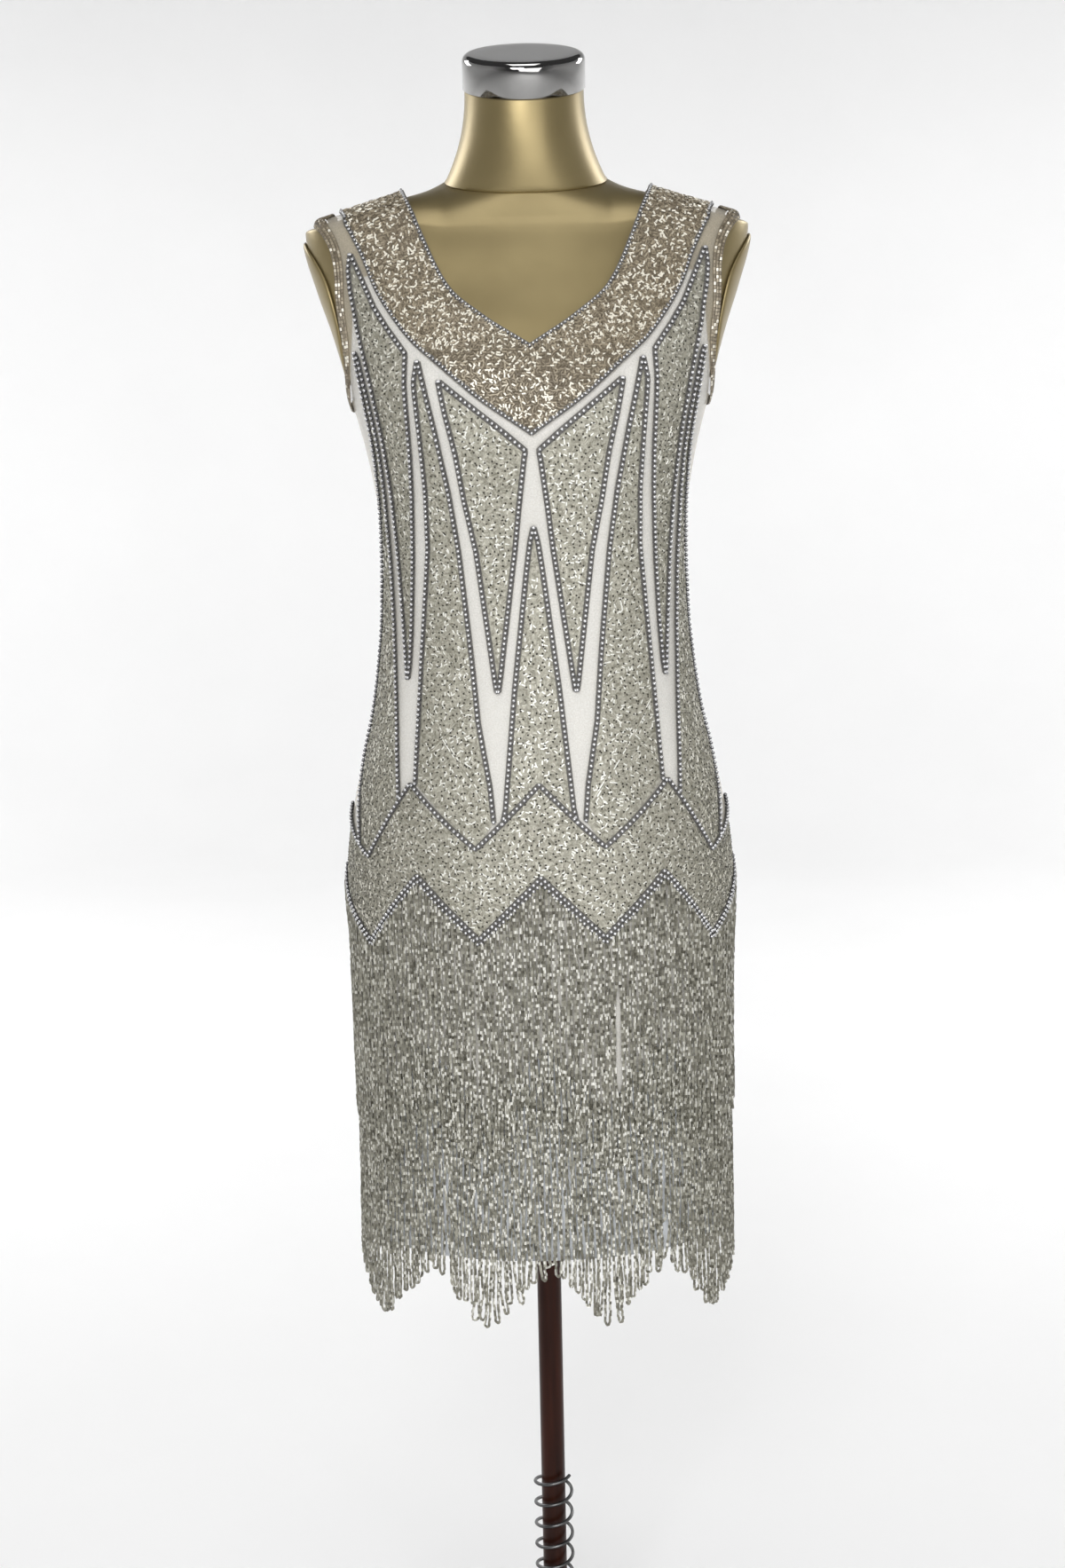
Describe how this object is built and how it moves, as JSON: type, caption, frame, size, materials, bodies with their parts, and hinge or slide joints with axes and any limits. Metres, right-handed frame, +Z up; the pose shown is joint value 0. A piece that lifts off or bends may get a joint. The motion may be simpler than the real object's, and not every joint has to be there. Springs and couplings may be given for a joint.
{
  "type": "beaded fringe dress on a limbless dress form and stand",
  "caption": "Sleeveless V-neck beaded net dress with two zigzag tiers of bead fringe, worn by a limbless dress form on a pole stand.",
  "frame": {"origin": "centre of the base's underside, on the floor", "axes": "+Z up along the pole, the front of the dress faces -Y, +X is the viewer's right"},
  "size_m": [0.3814, 0.34, 1.5418],
  "materials": {
    "net_cloth": "fine sheer net covered with silver-lined bugle beads",
    "slip_satin": "white matt satin",
    "bead_trim": "dense glass bugles and silver round beads",
    "bead_fringe": "strung glass beads, taupe with silvery lining",
    "form_gold": "satin gold paint, slightly mottled",
    "chrome": "polished",
    "mahogany": "dark red-brown lacquer, glossy",
    "spring_steel": "dark oiled steel wire",
    "base_enamel": "black satin enamel"
  },
  "bodies": {
    "root": {"net_front": "net_cloth", "net_back": "net_cloth", "slip_front": "slip_satin", "slip_back": "slip_satin", "neck_band_front": "bead_trim", "neck_band_back": "bead_trim", "armhole_binding_left": "bead_trim", "armhole_binding_right": "bead_trim", "fringe_upper_front": "bead_fringe", "fringe_upper_back": "bead_fringe", "fringe_lower_front": "bead_fringe", "fringe_lower_back": "bead_fringe", "form_torso": "form_gold", "form_neck": "form_gold", "arm_plate_left": "form_gold", "arm_plate_right": "form_gold", "neck_cap": "chrome", "pole": "mahogany", "spring": "spring_steel", "base": "base_enamel"}
  },
  "joints": []
}
